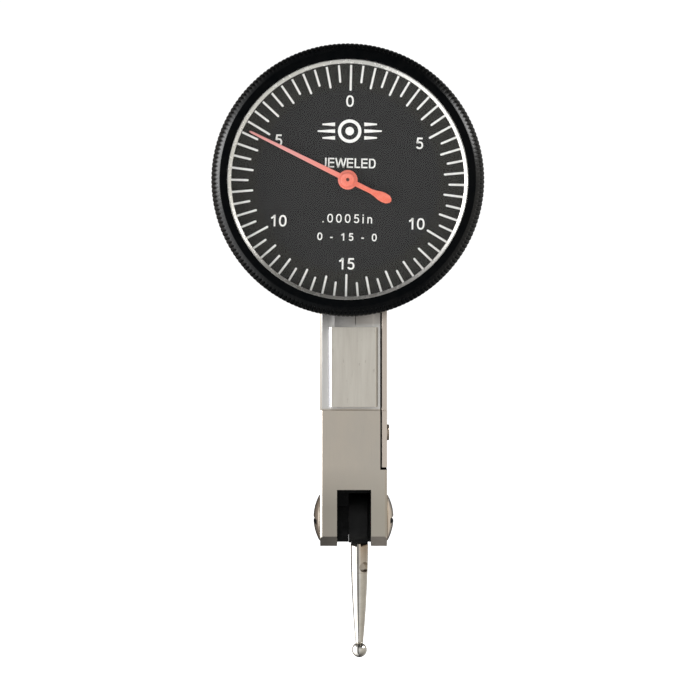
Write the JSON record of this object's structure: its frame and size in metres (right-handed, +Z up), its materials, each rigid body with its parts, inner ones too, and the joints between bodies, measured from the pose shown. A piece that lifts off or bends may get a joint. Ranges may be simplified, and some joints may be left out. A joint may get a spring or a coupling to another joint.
{
  "type": "dial test indicator",
  "caption": "Lever dial test indicator: round dial in a knurled turning bezel on a long steel bar with dovetail rails, and a tapered ball-ended stylus in a fork.",
  "frame": {"origin": "middle of the front dovetail's flat crown, where a holder grips the indicator", "axes": "+X to the right of the dial, -Y towards the reader (out of the dial and the front dovetail), +Z up from stylus to dial"},
  "size_m": [0.0383, 0.0219, 0.0873],
  "materials": {
    "satin_steel": "fine satin chrome, warm grey",
    "bright_steel": "polished steel",
    "black_oxide": "black oxide, satin",
    "black_anodised": "black anodised, knurled edge",
    "brass": "turned brass",
    "ruby": "polished synthetic ruby",
    "red_enamel": "salmon-red enamel",
    "dial_paint": "matt dark grey with pale printed marks",
    "crystal": "clear domed crystal"
  },
  "bodies": {
    "case": {"body_frame": "satin_steel", "cover_plate": "satin_steel", "cover_screw_1": "bright_steel", "cover_screw_2": "bright_steel", "cover_screw_3": "bright_steel", "pivot_screw_left": "bright_steel", "pivot_screw_right": "bright_steel", "pivot_jewel_left": "ruby", "pivot_jewel_right": "ruby", "cross_jewel_left": "ruby", "cross_jewel_right": "ruby", "centre_jewel_front": "ruby", "centre_jewel_rear": "ruby", "cross_bridge": "brass", "rear_strap": "brass", "front_bridge": "brass", "bridge_screw_1": "bright_steel", "bridge_screw_2": "bright_steel", "hairspring": "bright_steel", "hairspring_stud": "brass", "case_cup": "satin_steel", "bezel_spring_ring": "bright_steel"},
    "bezel": {"bezel": "black_anodised", "crystal": "crystal", "bright_ring": "bright_steel", "dial": "dial_paint"},
    "pointer": {"centre_arbor": "bright_steel", "centre_pinion": "bright_steel", "pointer": "red_enamel", "pointer_boss": "red_enamel"},
    "cross_arbor": {"cross_arbor": "bright_steel", "cross_pinion": "bright_steel", "crown_gear": "brass"},
    "lever": {"lever_axle": "bright_steel", "lever_arm": "black_oxide", "sector_gear": "brass", "friction_washer": "black_oxide"},
    "stylus": {"swivel_knuckle": "black_oxide", "stylus_stem": "bright_steel", "contact_ball": "bright_steel"}
  },
  "joints": [
    {"name": "bezel_turn", "type": "hinge", "parent": "case", "child": "bezel", "pos_m": [-0.0008, -0.005, 0.02627], "axis": [0, 1, 0], "continuous": true},
    {"name": "contact_lever", "type": "hinge", "parent": "case", "child": "lever", "pos_m": [0, 0.0065, -0.02173], "axis": [1, 0, 0], "range_deg": [-1.2, 1.2], "stiffness_Nm_per_rad": 0.12},
    {"name": "stylus_swivel", "type": "hinge", "parent": "lever", "child": "stylus", "pos_m": [0, 0.0065, -0.02173], "axis": [1, 0, 0], "range_deg": [-110, 110]},
    {"name": "cross_arbor_spin", "type": "hinge", "parent": "case", "child": "cross_arbor", "pos_m": [0, 0.0065, 0.02627], "axis": [1, 0, 0], "range_deg": [-47, 47]},
    {"name": "pointer_spin", "type": "hinge", "parent": "case", "child": "pointer", "pos_m": [-0.0008, 0, 0.02627], "axis": [0, 1, 0], "range_deg": [-187.5, 187.5]}
  ],
  "couplings": [
    {"joint": "cross_arbor_spin", "follows": "contact_lever", "ratio": -39},
    {"joint": "pointer_spin", "follows": "contact_lever", "ratio": -156}
  ]
}
